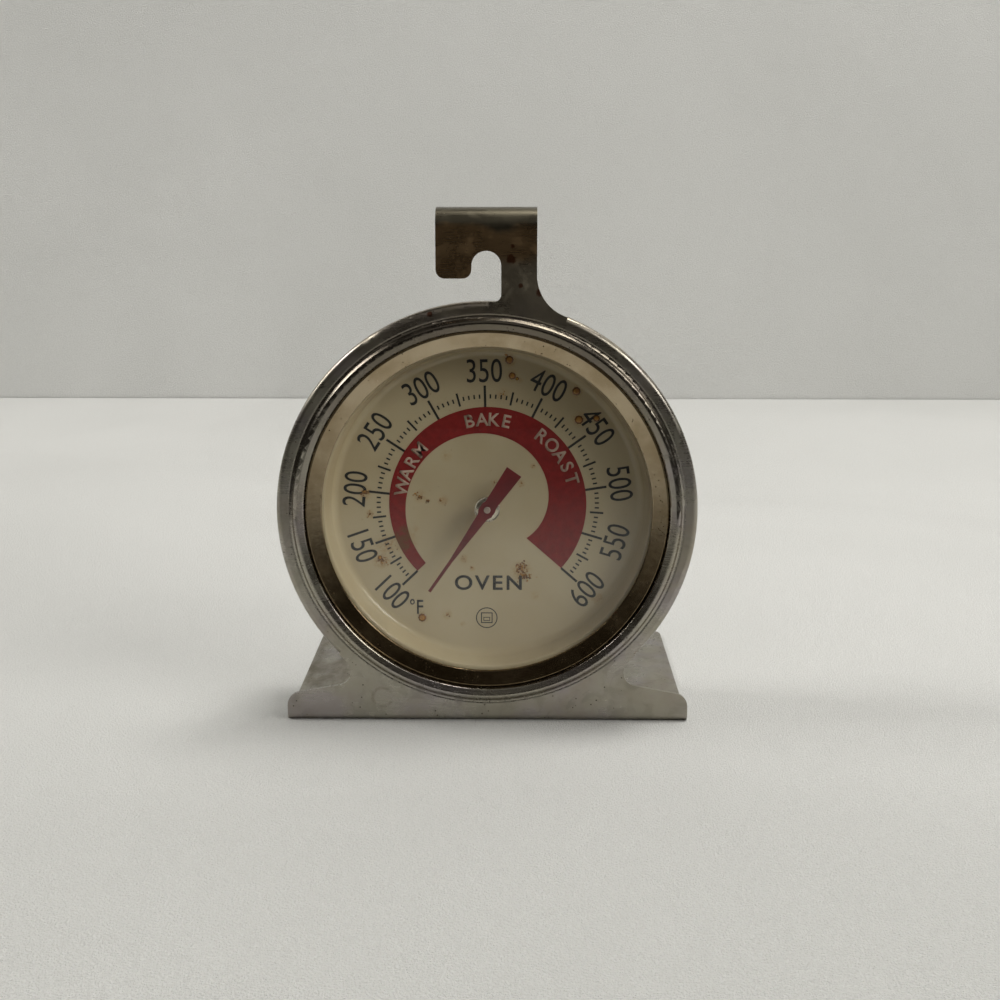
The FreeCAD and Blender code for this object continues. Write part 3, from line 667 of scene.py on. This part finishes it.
def crumbs():
    """Small crisp brown crumbs, thickest in a few clusters."""
    bm = bmesh.new()
    for x, z, spread, count, size in CRUMBS:
        for _ in range(count):
            angle = random.uniform(0, 2 * math.pi)
            away = abs(random.gauss(0, spread * 0.6)) if spread < 10 else spread * math.sqrt(random.random())
            radius = size * random.uniform(0.5, 1.5)
            corners = random.randint(6, 9)
            ragged = [random.uniform(0.55, 1.25) for _ in range(corners)]
            crumb_x, crumb_z = x + away * math.cos(angle), z + away * math.sin(angle)
            dome(bm, crumb_x, crumb_z, radius, radius * 0.3, corners, 2, ragged)
    s = Shader("baked_crumbs")
    grain = s.noise(1500, 3.0, 0.6)
    s.bump(grain, 0.5, 0.00005)
    s.set(Base_Color=s.mix(s.ramp(grain, 0.38, 0.62), (0.42, 0.20, 0.035), (0.12, 0.045, 0.010)),
          Roughness=s.ramp(grain, 0.3, 0.7, 0.30, 0.55))
    return finish_mounds(bm, "baked_crumbs", s.material)


def drops():
    """Amber drops, darker towards their rims."""
    bm = bmesh.new()
    for x, z, radius in DROPS:
        ragged = [1 + 0.10 * math.sin(2.0 * k + 7 * x) * random.uniform(0.3, 1) for k in range(28)]
        dome(bm, x, z, radius, radius * 0.38, 28, 6, ragged)
    s = Shader("baked_drops")
    grain = s.noise(1100, 4.0, 0.65)
    rim = None
    for x, z, radius in DROPS:
        away = s.distance(dial_point(x, z), (1, 0, 1))
        near = s.ramp(away, radius * 0.45 * MM, radius * 0.85 * MM)
        rim = near if rim is None else s.math("MINIMUM", rim, near)
    shade = s.mix(s.ramp(grain, 0.35, 0.65), (0.52, 0.27, 0.05), (0.33, 0.13, 0.02))
    s.bump(grain, 0.3, 0.00005)
    s.set(Base_Color=s.mix(rim, shade, (0.15, 0.055, 0.010)), Roughness=s.ramp(grain, 0.3, 0.7, 0.12, 0.3))
    return finish_mounds(bm, "baked_drops", s.material)


crumbs()
drops()


# ---------------------------------------------------------------- stage, light and camera

def cloth():
    """Pale woven cloth with faint folds, dark where it runs on in front of the lit part."""
    s = Shader("stage_cloth")
    weave = s.noise(1.0, 2.0, 0.6, s.stretch(3400, 2400, 3400))
    thread = s.noise(1.0, 2.0, 0.5, s.stretch(1700, 5200, 5200))
    soft = s.noise(5.5, 3.0, 0.5, distortion=0.8)
    crease = s.noise(1.0, 2.0, 0.5, s.stretch(9.0, 2.0, 1.5))
    folds = s.math("ADD", s.math("MULTIPLY", soft, 9.0), s.math("MULTIPLY", crease, 9.0))
    cloth_lines = s.math("MULTIPLY", s.math("ADD", weave, thread), 0.5)
    s.bump(s.math("ADD", s.math("ADD", weave, thread), folds), 0.8, 0.0005)
    wide = s.ramp(s.noise(2.6, 2.0, 0.5, distortion=0.5), 0.35, 0.65)
    pale = s.mix(s.ramp(soft, 0.35, 0.65), (0.78, 0.785, 0.76), (0.73, 0.735, 0.71))
    pale = s.mix(s.math("MULTIPLY", wide, 0.5), pale, (0.64, 0.645, 0.62))
    pale = s.mix(s.ramp(cloth_lines, 0.44, 0.56, 0.22, 0.0), pale, (0.50, 0.50, 0.48))
    unlit = s.ramp(s.axis("Y"), FRONT_Y - 0.23, FRONT_Y - 0.085, 1.0, 0.0)
    s.set(Base_Color=s.mix(unlit, pale, (0.03, 0.03, 0.03)), Roughness=0.85)
    return s.material


def stage_sheet(name, corners, material):
    mesh = bpy.data.meshes.new(name)
    mesh.from_pydata(corners, [], [tuple(range(len(corners)))])
    sheet = bpy.data.objects.new(name, mesh)
    mesh.materials.append(material)
    bpy.context.scene.collection.objects.link(sheet)


def lamp(name, place, aim, size, power, colour=(1.0, 0.98, 0.95)):
    light = bpy.data.lights.new(name, "AREA")
    light.shape = "RECTANGLE"
    light.size, light.size_y = size
    light.energy = power
    light.color = colour
    holder = bpy.data.objects.new(name, light)
    bpy.context.scene.collection.objects.link(holder)
    holder.location = place
    holder.rotation_euler = (Vector(aim) - Vector(place)).to_track_quat("-Z", "Y").to_euler()


BACKDROP_Y = FRONT_Y + 0.408
FLOOR_FRONT = FRONT_Y - 0.32
FLOOR_HALF = 1.3
cloth_material = cloth()
stage_sheet("floor", [(-FLOOR_HALF, FLOOR_FRONT, 0), (FLOOR_HALF, FLOOR_FRONT, 0),
                      (FLOOR_HALF, BACKDROP_Y, 0), (-FLOOR_HALF, BACKDROP_Y, 0)], cloth_material)
stage_sheet("backdrop", [(-FLOOR_HALF, BACKDROP_Y, -0.01), (FLOOR_HALF, BACKDROP_Y, -0.01),
                         (FLOOR_HALF, BACKDROP_Y + 0.05, 0.8), (-FLOOR_HALF, BACKDROP_Y + 0.05, 0.8)],
            cloth_material)

lamp("key_right", (0.78, -0.48, 0.60), (0, 0.0, 0.03), (0.60, 0.34), 3.7)
lamp("fill_left", (-0.85, 0.05, 0.68), (0, 0.08, 0.02), (0.3, 0.3), 4.0)
lamp("room_fill", (0.1, -0.9, 0.95), (0, 0, 0.04), (1.4, 1.0), 0.9)
lamp("backdrop_wash", (0.30, 0.10, 1.0), (0.14, BACKDROP_Y - 0.05, 0.06), (0.5, 0.3), 7.0)

world = bpy.data.worlds.new("room")
world.use_nodes = True
world.node_tree.nodes["Background"].inputs["Color"].default_value = (0.028, 0.024, 0.019, 1.0)
world.node_tree.nodes["Background"].inputs["Strength"].default_value = 1.0
bpy.context.scene.world = world
bpy.context.scene.view_settings.view_transform = "Standard"

# The camera stands a little right of the dial axis, above the object, and looks down at it.
PITCH = math.radians(12.1)
TURN = math.radians(0.73)
ASIDE = 5.4 * MM
DISTANCE = 0.2434
HEIGHT = 0.0925
camera_data = bpy.data.cameras.new("camera")
camera_data.sensor_width = 36.0
camera_data.lens = 51.84
camera_data.clip_start = 0.01
camera = bpy.data.objects.new("camera", camera_data)
bpy.context.scene.collection.objects.link(camera)
camera.location = (ASIDE, FRONT_Y - DISTANCE, HEIGHT)
camera.rotation_euler = (math.pi / 2 - PITCH, 0, TURN)
bpy.context.scene.camera = camera
